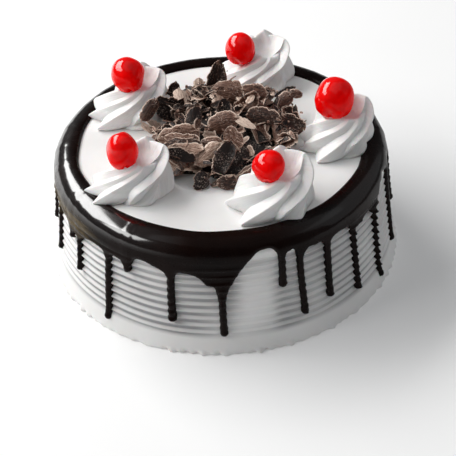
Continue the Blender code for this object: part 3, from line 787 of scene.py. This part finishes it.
def makeRosette(number, material):
    node, angle, distance, radius, tall, slope, main, _, reach = rosette["rows"][number]
    ribs = ribRows(number)
    place = distance * heading(angle)
    soft = waves(71 + number, 9, (2, 9), 0.3)
    uphill = heading(rosette["slopeAngle"])
    shift, shiftAngle = rosette["shift"]
    aside = shift * heading(shiftAngle)
    turn, turnPower = rosette["turn"]
    streakTurn, streakRise, streakStep = rosette["streaks"]
    count = rosette["columns"]
    even = np.linspace(0, tau, count, endpoint=False)
    rows, streaks = [], []
    for height, width, along in zip(*rosetteLine()):
        theta = even + math.radians(main + turn * height ** turnPower)
        inner = float(smoothStep(along, *rosette["hollowFade"]))
        best = ribSize(ribs, theta, min(height, 1.0), main, reach / radius)
        best = best * (1 - inner) + inner
        across = radius * width * best * (1 + rosette["softness"] * soft(theta, 6 * height))
        x = across * np.cos(theta) + height * aside[0]
        y = across * np.sin(theta) + height * aside[1]
        lift = slope * height * (x * uphill[0] + y * uphill[1])
        z = body["height"] + height * tall + lift - rosette["drop"] * (1 - best) * height ** 3
        rows.append(np.stack((x + place[0], y + place[1], z), axis=-1))
        steady = np.full((2, count), ((streakRise * along,), (streakStep * number,)))
        streaks.append(np.stack((even * streakTurn, *steady), axis=-1))
    last = len(rows) * count
    points = np.concatenate(rows + [[rows[-1].mean(axis=0), (*place, body["height"])]])
    points = clearOfCherry(points, number, rosette["cherryGap"])
    faces = ringFaces(len(rows), count, (last + 1, last))
    piece = makeMesh(f"rosette{number + 1}Cream", points, faces, material)
    paint(piece, "streak", np.concatenate(streaks + [np.zeros((2, 3))]))
    return settle(piece, node)


def rosettePlaces():
    for _, angle, distance, radius, *_ in rosette["rows"]:
        yield distance * heading(angle), radius


# chocolate shavings

heap = {
    "place": (2.0, 4.0),
    "limit": 50.0,
    "coreLimit": 41.0,
    "coreHeight": 14.0,
    "steepness": 2.4,
    "coreShares": (1.0, 0.04, 22),
    "coreColumns": 72,
    "coreLump": (0.03, 0.10),  # of its reach and of its height
    "coreGap": 0.3,
    "coreStep": 0.4,
    "map": 1.0,  # size of the height map's squares
    "mapMargin": 12,
    "air": 0.1,
    "seed": 17,
    # how many flakes, shares of the reach they lie in, length, width, how far they may sink in,
    # and which rows of points the mesh keeps: all, or every second one
    "layers": (
        (34, (0.45, 0.96), (13, 20), (9, 13), 60, 1),
        (26, (0.0, 0.86), (14, 22), (9, 14), 68, 1),
        (8, (0.0, 0.68), (14, 21), (8, 12), 76, 1),
        (152, (0.0, 0.98), (5, 11), (2.0, 5.0), 74, 2),
    ),
    # the flakes that stand out: place, length, width, radius of its curl (below 0 its
    # hollow side shows), how far it faces the front, angle in the picture, tone
    "heroes": (
        (-1, 41, 29, 16, -9, 72, 80, 0.26),  # standing petal
        (-28, 41, 17, 10, -7, 72, 75, 0.2),  # small petal
        (-22, 22, 12, 11, 7, 40, 90, 0.98),  # light shell
        (-34, 30, 15, 9, -8, 55, -45, 0.1),  # dark jagged
        (-41, 10, 15, 9, 7, 60, 60, 0.38),  # left end
        (-15, -6, 14, 12, 7, 50, 90, 0.18),  # dark dome
        (-24, -13, 25, 10, 9, 45, 3, 0.62),  # long flake
        (2, -8, 18, 15, 8.5, 48, 10, 0.52),  # central shell
        (6, 26, 17, 15, 10, 35, 0, 0.55),  # upper dusty shell
        (-11, 40, 8, 6, 9, 60, 90, 0.95),  # pinkish piece
        (22, 20, 15, 11, 8, 45, -10, 0.5),  # upper right
        (26, -2, 20, 13, 8, 50, -8, 0.34),  # right dark
        (15, -9, 14, 5, 12, 30, -25, 1),  # light shard
        (40, 25, 11, 9, 8, 45, 40, 0.45),  # right upper
        (43, -5, 15, 10, -8, 55, -40, 0.3),  # right end
        (-5, -21, 13, 11, 6.5, 45, 0, 0.52),  # round shell
        (-7, -31, 19, 11, 8, 52, 42, 0.8),  # tan shell
        (1, -35, 21, 14, -7, 60, 62, 0.1),  # dark fold
        (-22, -20, 21, 8, 10, 35, -12, 0.6),  # layers
        (-21, -24, 20, 8, 10, 35, -10, 0.35),
        (-20, -28, 19, 8, 10, 35, -14, 0.75),
        (-23, -31, 17, 8, -8, 55, -20, 0.14),  # left low
        (8, -24, 13, 11, 7, 45, -40, 0.6),  # reddish
        (15, -35, 18, 5, 4.5, 40, 38, 0.65),  # strips
        (13, -40, 17, 6, -5, 50, 28, 0.5),
        (-12, -44, 11, 9, 8, 60, 90, 0.08),  # bottom left
        (3, -46, 12, 9, 8, 60, 10, 0.32),  # bottom right
        (41.5, 48, 14, 4, 9, 25, 32, 0),  # stick
        (47, 27, 7, 6, 9, 50, 20, 0.45),  # small block
    ),
    "heroBlunt": (1.9, 4.0),
    "heroCurl": 0.85,
    "heroSink": 82,
    "petal": (70, 1.6, 40),  # one that faces the front more than this stands: blunt, sink
    "tries": 30,
    "curl": (4.8, 11.0),
    "blunt": (1.8, 8.0),
    "tilt": (42, 55),  # along and across, either way
    "flipped": 0.4,  # share that lies hollow side up
    "smoothEdge": (0.07, 0.03),  # wide swings and fine teeth
    "tornEdge": (0.24, 0.11),
    "ends": (0.14, 0.07),
    "thickness": 0.65,
    "lopsided": 0.35,
    "endRound": (0.55, 0.04),  # power of the ends' outline, least width
    "sway": 0.2,
    "droop": (-0.01, 0.09),
    "scrape": (0.14, 2.2, 3.4),  # depth of the knife's waves, how many radians a mm
    "skew": 0.25,
    "thinEdge": 0.55,
    "edgePaint": (12, 0.35),  # power, share along the smooth edge
    "across": 13,
    "long": 27,
    "splinters": 46,
    "splinterSize": ((4, 10), (0.5, 1.3)),
    "splinterBend": (1.6, 0.8),  # up and aside, either way
    "splinterSection": ((-1, 0), (1, 0), (0.7, 0.5), (-0.7, 0.5)),
    "splinterSteps": 7,
    "splinterSink": 60,
    "crumbs": 130,
    "crumbSize": (0.25, 0.7, 3),  # least, how much more, power of the draw
    "crumbSquash": (0.45, 1.1),
    "smallTone": 0.7,  # the palest of the splinters and crumbs
}


class Heap:
    # keeps the height of what already lies, for the next thing to lie on
    def __init__(self):
        self.size = round(heap["limit"] + heap["mapMargin"])
        axis = (np.arange(2 * self.size + 1) - self.size) * heap["map"]
        x, y = np.meshgrid(axis, axis, indexing="ij")
        share = np.hypot(x, y) / heap["coreLimit"]
        core = heap["coreHeight"] * (1 - np.minimum(share, 1) ** heap["steepness"])
        self.level = body["height"] + core

    def cells(self, points):
        offset = points[:, :2] - np.array(heap["place"])
        return tuple(np.clip(np.round(offset / heap["map"]).astype(int) + self.size, 0, 2 * self.size).T)

    def under(self, points):
        return self.level[self.cells(points)]

    def lay(self, points, sink):
        # lowers a thing until that percentage of its points is above what lies there
        points[:, 2] += np.percentile(self.under(points) - points[:, 2], sink)
        points[:, 2] += max(body["height"] + heap["air"] - points[:, 2].min(), 0)

    def add(self, points):
        np.maximum.at(self.level, self.cells(points), points[:, 2])


def clearOfRosettes(points, share=0.95):
    for middle, radius in rosettePlaces():
        if np.hypot(*(points[:, :2] - middle).T).min() < radius * share:
            return False
    return True


def tornLine(draw, count, wide, fine):
    # uneven values round 1
    swings = np.interp(np.linspace(0, 6, count), np.arange(7), draw.uniform(-1, 1, 7))
    return 1 + wide * swings + fine * draw.uniform(-1, 1, count)


def flakePoints(draw, length, width, curl, blunt, step=1):
    # a scraped shell: points, faces, edge share and grain of one flake about its own middle
    u = np.linspace(-1, 1, heap["long"])
    v = np.linspace(-1, 1, heap["across"])
    uu, vv = np.meshgrid(u, v, indexing="ij")
    rag = [tornLine(draw, heap["long"], *heap[side]) for side in ("smoothEdge", "tornEdge")]
    rag = np.where(vv < 0, rag[0][:, None], rag[1][:, None])
    lopsided = draw.uniform(-heap["lopsided"], heap["lopsided"])
    endPower, least = heap["endRound"]
    outline = np.clip(1 - np.abs(u) ** blunt, 0.0, 1) ** endPower + least
    outline = outline * (1 + lopsided * u)
    nick = 1 + (tornLine(draw, heap["across"], *heap["ends"]) - 1) * (1 - v ** 4)
    across = vv * rag * outline[:, None] * width / 2
    bend = across / curl + draw.uniform(-heap["sway"], heap["sway"]) * uu
    droop = draw.uniform(*heap["droop"]) * length
    depth, *pace = heap["scrape"]
    scrape = depth * np.sin(across * draw.uniform(*pace) + draw.uniform(0, tau))
    x = uu * nick[None, :] * length / 2 + draw.uniform(-heap["skew"], heap["skew"]) * across
    y = curl * np.sin(bend)
    z = curl * (np.cos(bend) - 1) - droop * uu ** 2 + scrape
    top = np.stack((x, y, z), axis=-1)
    normal = np.cross(np.gradient(top, axis=0), np.gradient(top, axis=1))
    normal = normal / np.maximum(np.linalg.norm(normal, axis=2, keepdims=True), 1e-9)
    rim = np.maximum(np.abs(vv), 0.96 * np.abs(uu))
    thick = heap["thickness"] * (1 - heap["thinEdge"] * rim[..., None] ** 3)
    bottom = top - normal * thick
    kept = [values[::step, ::step] for values in (top, bottom, rim, vv, x, across)]
    top, bottom, rim, vv, x, across = kept
    points = np.concatenate((top.reshape(-1, 3), bottom.reshape(-1, 3)))
    grid = np.arange(rim.size).reshape(rim.shape)
    a, b = grid[:-1, :-1].ravel(), grid[1:, :-1].ravel()
    c, d = grid[1:, 1:].ravel(), grid[:-1, 1:].ravel()
    faces = closeSkin(rim.size, np.stack((a, b, c, d), axis=1).tolist())
    power, smoothShare = heap["edgePaint"]
    edge = np.tile((rim ** power * np.where(vv > 0, 1.0, smoothShare)).ravel(), 2)
    grain = np.tile(np.stack((x, across, np.zeros_like(x)), axis=-1).reshape(-1, 3), (2, 1))
    return points, faces, edge, grain


def gather(parts, name, material, sharpAngle=None):
    # many small things as one mesh, each with its own tone
    points, faces, edges, tones, grains = [], [], [], [], []
    count = 0
    for number, (own, ownFaces, edge, tone, grain) in enumerate(parts):
        points.append(own)
        faces += [[corner + count for corner in face] for face in ownFaces]
        edges.append(edge)
        tones.append(np.full(len(own), tone))
        grains.append(grain + np.array((0, 0, 7.0 * number)))
        count += len(own)
    piece = makeMesh(name, np.concatenate(points), faces, material, sharpAngle)
    for layer, values in (("edge", edges), ("tone", tones), ("grain", grains)):
        paint(piece, layer, np.concatenate(values))
    return settle(piece, "shavings")


def spun(points, yaw, pitch, roll):
    matrix = Matrix.Rotation(yaw, 3, "Z") @ Matrix.Rotation(pitch, 3, "Y") @ Matrix.Rotation(roll, 3, "X")
    return points @ np.array(matrix).T


def dropped(points, share, angle):
    # moved to a place in the heap: share of its reach, angle
    offset = heap["limit"] * share * np.array((math.cos(angle), math.sin(angle)))
    return points + np.array((*(heap["place"] + offset), 0.0))


def looseFlakes(pile, draw):
    parts = []
    pitchLimit, rollLimit = heap["tilt"]
    for count, (near, far), lengths, widths, sink, step in heap["layers"]:
        for _ in range(count):
            for _ in range(heap["tries"]):
                share = math.sqrt(draw.uniform(near ** 2, far ** 2))
                angle = draw.uniform(0, tau)
                sizes = [draw.uniform(*limits) for limits in (lengths, widths, heap["curl"], heap["blunt"])]
                own, faces, edge, grain = flakePoints(draw, *sizes, step)
                flip = math.pi if draw.uniform() < heap["flipped"] else 0.0
                pitch = math.radians(draw.uniform(-pitchLimit, pitchLimit))
                roll = flip + math.radians(draw.uniform(-rollLimit, rollLimit))
                own = dropped(spun(own, draw.uniform(0, tau), pitch, roll), share, angle)
                inHeap = np.hypot(*(own[:, :2] - heap["place"]).T).max() < heap["limit"] + 1
                if inHeap and clearOfRosettes(own):
                    break
            else:
                continue
            pile.lay(own, sink)
            pile.add(own)
            parts.append((own, faces, edge, draw.uniform() ** 1.5, grain))
    return parts


def heroFlakes(pile, draw):
    parts = []
    petalTilt, petalBlunt, petalSink = heap["petal"]
    for x, y, length, width, curl, tilt, angle, tone in heap["heroes"]:
        stands = tilt > petalTilt
        blunt = petalBlunt if stands else draw.uniform(*heap["heroBlunt"])
        own, faces, edge, grain = flakePoints(draw, length, width, abs(curl) * heap["heroCurl"], blunt)
        if curl < 0:
            own = own * (1, 1, -1)
        tilt, turn = math.radians(tilt), math.radians(angle)
        out = Vector((0, -math.sin(tilt), math.cos(tilt)))
        along = Vector((math.cos(turn), math.sin(turn) * math.cos(tilt), math.sin(turn) * math.sin(tilt)))
        own = own @ np.array(Matrix((along, out.cross(along), out))) + np.array((x, y, 0.0))
        pile.lay(own, petalSink if stands else heap["heroSink"])
        pile.add(own)
        parts.append((own, faces, edge, tone, grain))
    return parts


def splinters(pile, draw):
    # thin curved strips that lie over the flakes
    parts = []
    section = heap["splinterSection"]
    corners = len(section)
    steps = heap["splinterSteps"]
    ends = [tuple(range(corners))[::-1], tuple(range((steps - 1) * corners, steps * corners))]
    u = np.linspace(-1, 1, steps)
    while len(parts) < heap["splinters"]:
        length, width = [draw.uniform(*limits) for limits in heap["splinterSize"]]
        bend, sway = [draw.uniform(-limit, limit) * u ** 2 for limit in heap["splinterBend"]]
        half = width / 2 * (1 - 0.75 * u ** 2)
        rows = [np.stack((u * length / 2, side * half + sway, top + bend), axis=-1) for side, top in section]
        own = np.stack(rows, axis=1).reshape(-1, 3)
        share, angle = math.sqrt(draw.uniform(0, 1)), draw.uniform(0, tau)
        own = spun(own, draw.uniform(0, tau), math.radians(draw.uniform(-40, 40)), draw.uniform(0, tau))
        own = dropped(own, share, angle)
        if not clearOfRosettes(own):
            continue
        pile.lay(own, heap["splinterSink"])
        edge, tone = np.full(len(own), 0.3), heap["smallTone"] * draw.uniform()
        parts.append((own, ringFaces(steps, corners) + ends, edge, tone, own * 0.5))
    return parts


def crumbs(pile, draw):
    least, more, power = heap["crumbSize"]
    corners = np.array([(x, y, z) for x in (-1, 1) for y in (-1, 1) for z in (-1, 1)], dtype=float)
    faces = [(0, 1, 3, 2), (4, 6, 7, 5), (0, 4, 5, 1), (2, 3, 7, 6), (0, 2, 6, 4), (1, 5, 7, 3)]
    parts = []
    while len(parts) < heap["crumbs"]:
        size = least + more * draw.uniform() ** power
        own = corners * size * draw.uniform(*heap["crumbSquash"], corners.shape)
        share, angle = math.sqrt(draw.uniform(0, 0.95)), draw.uniform(0, tau)
        own = dropped(spun(own, *draw.uniform(0, tau, 3)), share, angle)
        if not clearOfRosettes(own):
            continue
        own[:, 2] += pile.under(own).max() - own[:, 2].min()
        edge, tone = np.full(len(own), 0.2), heap["smallTone"] * draw.uniform()
        parts.append((own, faces, edge, tone, own * 0.5))
    return parts


def heapCore(material):
    # what the flakes lie on, mostly hidden by them; painted near-black as the shade in the gaps between them
    count = heap["coreColumns"]
    angles = np.linspace(0, tau, count, endpoint=False)
    ways = np.stack((np.cos(angles), np.sin(angles)), axis=-1)
    lumps = waves(81, 12, (3, 14), 0.0)
    reachLump, heightLump = heap["coreLump"]
    rows = []
    for share in np.linspace(*heap["coreShares"]):
        reach = heap["coreLimit"] * share * (1 + reachLump * lumps(angles))
        for middle, radius in rosettePlaces():
            for _ in range(40):
                off = heap["place"] + reach[:, None] * ways - middle
                touches = np.hypot(*off.T) < radius + heap["coreGap"]
                reach = np.where(touches, reach - heap["coreStep"], reach)
        height = heap["coreHeight"] * (1 - share ** heap["steepness"])
        height = height * (1 + heightLump * lumps(angles + share))
        level = body["height"] + 0.05 + np.maximum(height, 0) - 1.5 * (share < 1)
        rows.append(np.concatenate((heap["place"] + reach[:, None] * ways, level[:, None]), axis=1))
    points = np.concatenate(rows)
    faces = ringFaces(len(rows), count)
    faces.append(list(range(count))[::-1])
    faces.append(list(range(len(points) - count, len(points))))
    piece = makeMesh("heapCore", points, faces, material)
    # painted shade: a tone and edge of 0 make the core near-black, the shadow seen between flakes
    paint(piece, "edge", np.zeros(len(points)))
    paint(piece, "tone", np.zeros(len(points)))
    paint(piece, "grain", points)
    return settle(piece, "shavings")


# finishes

def creamFinish():
    look = Finish("combed cream", {"Roughness": 0.5, "Subsurface Weight": 0.08, "Subsurface Scale": 0.001})
    place = look.place()
    cloud = look.noise(place, 28, 3)
    colour = look.ramp(cloud, ((0.3, (0.79, 0.785, 0.775)), (0.7, (0.86, 0.857, 0.85))))
    # painted shade: the cream turns grey in the grooves, where the ridges' shade falls
    colour = look.mix(look.attribute("groove") * 0.9, colour, (0.32, 0.32, 0.33, 1.0))
    comb = look.noise(look.stretched(place, (30, 30, 1700)), 1.0, 3)
    pores = look.noise(place, 900, 3)
    normal = look.bump(comb * 0.6 + pores * 0.4, 0.25, 0.0004)
    return look.feed(colour=colour, normal=normal)


def pipedFinish():
    look = Finish("piped cream", {"Roughness": 0.42, "Subsurface Weight": 0.15, "Subsurface Scale": 0.0015})
    place = look.place()
    cloud = look.noise(place, 60, 3)
    colour = look.ramp(cloud, ((0.3, (0.85, 0.845, 0.835)), (0.7, (0.89, 0.887, 0.88))))
    streak = look.noise(look.attribute("streak", "Vector"), 1.0, 4, 0.6)
    colour = look.mix(look.spread(streak, 0.5, 0.3) * 0.35, colour, (0.62, 0.62, 0.62, 1.0))
    normal = look.bump(streak * 0.8 + look.noise(place, 1100, 3) * 0.2, 0.3, 0.0012)
    return look.feed(colour=colour, normal=normal)


def glazeFinish():
    look = Finish("dark glaze", {"Specular IOR Level": 0.07, "Coat Roughness": 0.12, "Coat IOR": 1.85})
    place = look.place()
    cloud = look.noise(place, 45, 3)
    colour = look.ramp(cloud, ((0.3, (0.003, 0.0012, 0.001)), (0.75, (0.009, 0.0035, 0.0025))))
    streaks = look.spread(look.noise(look.stretched(place, (1, 1, 9)), 70, 3, 0.6), 0.34, 0.62)
    colour = look.mix(look.attribute("thin") * streaks * 0.9, colour, (0.13, 0.095, 0.045, 1.0))
    roughness = look.spread(look.noise(place, 120, 4), 0.35, 0.7, 0.2, 0.34)
    ripple = look.noise(look.stretched(place, (1, 1, 3)), 90, 2)
    normal = look.bump(ripple, 0.08, 0.0006)
    # the coat weight is the painted sheen mask, so the glaze shines only where the lamps' highlights fall
    return look.feed(colour=colour, roughness=roughness, normal=normal, coat=look.attribute("wet"))


def cherryFinish():
    steady = {
        "Coat Roughness": 0.04,
        "Specular IOR Level": 0.05,
        # painted glow: a dim red emission stands in for light shining through the fruit
        "Emission Color": (0.5, 0.0, 0.0, 1.0),
        "Emission Strength": 0.26,
        "Subsurface Weight": 0.15,
        "Subsurface Radius": (0.004, 0.0006, 0.0004),
        "Subsurface Scale": 1.0,
    }
    look = Finish("candied cherry", steady)
    place = look.place()
    cloud = look.noise(place, 130, 3)
    reds = ((0.3, (0.62, 0.0, 0.0)), (0.6, (0.88, 0.001, 0.001)), (0.8, (0.80, 0.001, 0.001)))
    roughness = look.spread(look.noise(place, 240, 3), 0.35, 0.7, 0.10, 0.22)
    skin = look.noise(place, 420, 3)
    # painted sheen: the coat is full only where the key light's highlight falls
    coat = look.attribute("syrup") * 0.85 + 0.15
    normal = look.bump(skin, 0.10, 0.0003)
    return look.feed(colour=look.ramp(cloud, reds), roughness=roughness, coat=coat, normal=normal)


def chocolateFinish():
    look = Finish("scraped chocolate", {"Specular IOR Level": 0.35})
    tone = look.attribute("tone")
    edge = look.attribute("edge")
    grain = look.attribute("grain", "Vector")
    place = look.place()
    scratch = look.noise(look.stretched(grain, (0.3, 1.5, 1.0)), 1.0, 4, 0.7)
    dust = look.noise(place, 1050, 3, 0.75)
    # pale flecks: partly dust on the chocolate, partly painted glints
    dustAndGlintFleck = look.spread(dust, 0.55, 0.64) * look.spread(look.noise(place, 130, 2), 0.4, 0.6)
    value = tone + look.spread(scratch, 0.38, 0.72) * 0.5 + edge - 0.19
    colour = look.ramp(value, (
        (0.0, (0.005, 0.0022, 0.0018)),
        (0.3, (0.018, 0.0075, 0.0052)),
        (0.6, (0.150, 0.070, 0.045)),
        (0.85, (0.500, 0.340, 0.260)),
        (1.0, (0.800, 0.640, 0.530)),
    ))
    dustAndGlintColour = look.mix(dustAndGlintFleck * 0.7, colour, (0.66, 0.53, 0.45, 1.0))
    roughness = look.spread(scratch, 0.3, 0.7, 0.42, 0.7)
    normal = look.bump(scratch * 0.6 + dust * 0.4, 0.6, 0.0005)
    return look.feed(colour=dustAndGlintColour, roughness=roughness, normal=normal)


def floorFinish():
    steady = {"Roughness": 0.75, "Emission Color": (1.0, 1.0, 1.0, 1.0), "Emission Strength": 0.10}
    look = Finish("pale floor", steady)
    cloud = look.noise(look.place(), 6, 2)
    return look.feed(colour=look.ramp(cloud, ((0.3, (0.86, 0.86, 0.86)), (0.7, (0.88, 0.88, 0.88)))))


# making the pieces

creamBody(creamFinish())
print("cream body")
glazeCoat(glazeFinish())
print("glaze")
pipedLook = pipedFinish()
cherryLook = cherryFinish()
for number in range(len(rosette["rows"])):
    makeRosette(number, pipedLook)
    makeCherry(number, cherryLook)
print("rosettes and cherries")
chocolateLook = chocolateFinish()
pile = Heap()
pileDraw = np.random.default_rng(heap["seed"])
heapCore(chocolateLook)
flakes = looseFlakes(pile, pileDraw)
gather(flakes + heroFlakes(pile, pileDraw), "curledFlakes", chocolateLook, 55)
gather(splinters(pile, pileDraw), "splinters", chocolateLook, 40)
gather(crumbs(pile, pileDraw), "crumbs", chocolateLook, 30)
print("shavings")


# stage, camera and lights

def makeFloor():
    side, level = 4000, -0.2
    corners = [(-side, -side, level), (side, -side, level), (side, side, level), (-side, side, level)]
    floor = makeMesh("floor", corners, [(0, 1, 2, 3)], floorFinish())


view = {
    "elevation": 39.39,
    "distance": 900.0,
    "aim": (2.11, 0.0, 6.64),
    "roll": -2.788,
    "sensor": 36,
    "focus": 1438.9 / 456,  # in picture widths
}


def makeCamera():
    tilt = math.radians(view["elevation"])
    place = Vector((0, -view["distance"] * math.cos(tilt), view["distance"] * math.sin(tilt)))
    ahead = (Vector(view["aim"]) - place).normalized()
    right = ahead.cross(Vector((0, 0, 1))).normalized()
    up = right.cross(ahead)
    roll = math.radians(view["roll"])
    across = right * math.cos(roll) + up * math.sin(roll)
    upright = up * math.cos(roll) - right * math.sin(roll)
    lens = bpy.data.cameras.new("camera")
    lens.sensor_width = view["sensor"]
    lens.lens = view["focus"] * view["sensor"]
    lens.clip_start = 0.01
    camera = bpy.data.objects.new("camera", lens)
    bpy.context.scene.collection.objects.link(camera)
    turn = Matrix((across, upright, -ahead)).transposed().to_4x4()
    camera.matrix_world = Matrix.Translation(place * mm) @ turn
    bpy.context.scene.camera = camera


lights = (
    # name, direction azimuth from +X, elevation, distance and size in metres, strength in watts, colour
    ("leftBox", 148, 40, 2.4, (2.4, 1.05), 67.0, (1.0, 0.995, 0.985)),
    ("sideBox", 197, 36, 2.4, (1.0, 0.76), 15.0, (1.0, 0.995, 0.985)),
    ("topBox", -35, 78, 3.4, (4.4, 4.4), 19.0, (0.97, 0.985, 1.0)),
    ("rightBox", 12, 34, 3.2, (4.0, 2.8), 13.5, (0.95, 0.97, 1.0)),
)


def makeLights():
    for name, azimuth, elevation, distance, size, power, colour in lights:
        lamp = bpy.data.lights.new(name, "AREA")
        lamp.shape = "RECTANGLE"
        lamp.size, lamp.size_y = size
        lamp.energy = power
        lamp.color = colour
        made = bpy.data.objects.new(name, lamp)
        bpy.context.scene.collection.objects.link(made)
        turn, rise = math.radians(azimuth), math.radians(elevation)
        way = Vector((math.cos(turn) * math.cos(rise), math.sin(turn) * math.cos(rise), math.sin(rise)))
        made.location = way * distance + Vector((0, 0, 0.06))
        made.rotation_mode = "QUATERNION"
        made.rotation_quaternion = (-way).to_track_quat("-Z", "Y")
    world = bpy.data.worlds.new("room")
    world.use_nodes = True
    world.node_tree.nodes["Background"].inputs["Color"].default_value = (0.97, 0.985, 1.0, 1.0)
    world.node_tree.nodes["Background"].inputs["Strength"].default_value = 0.10
    bpy.context.scene.world = world
    bpy.context.scene.view_settings.view_transform = "Standard"


makeFloor()
makeCamera()
makeLights()
print("stage, camera and lights")
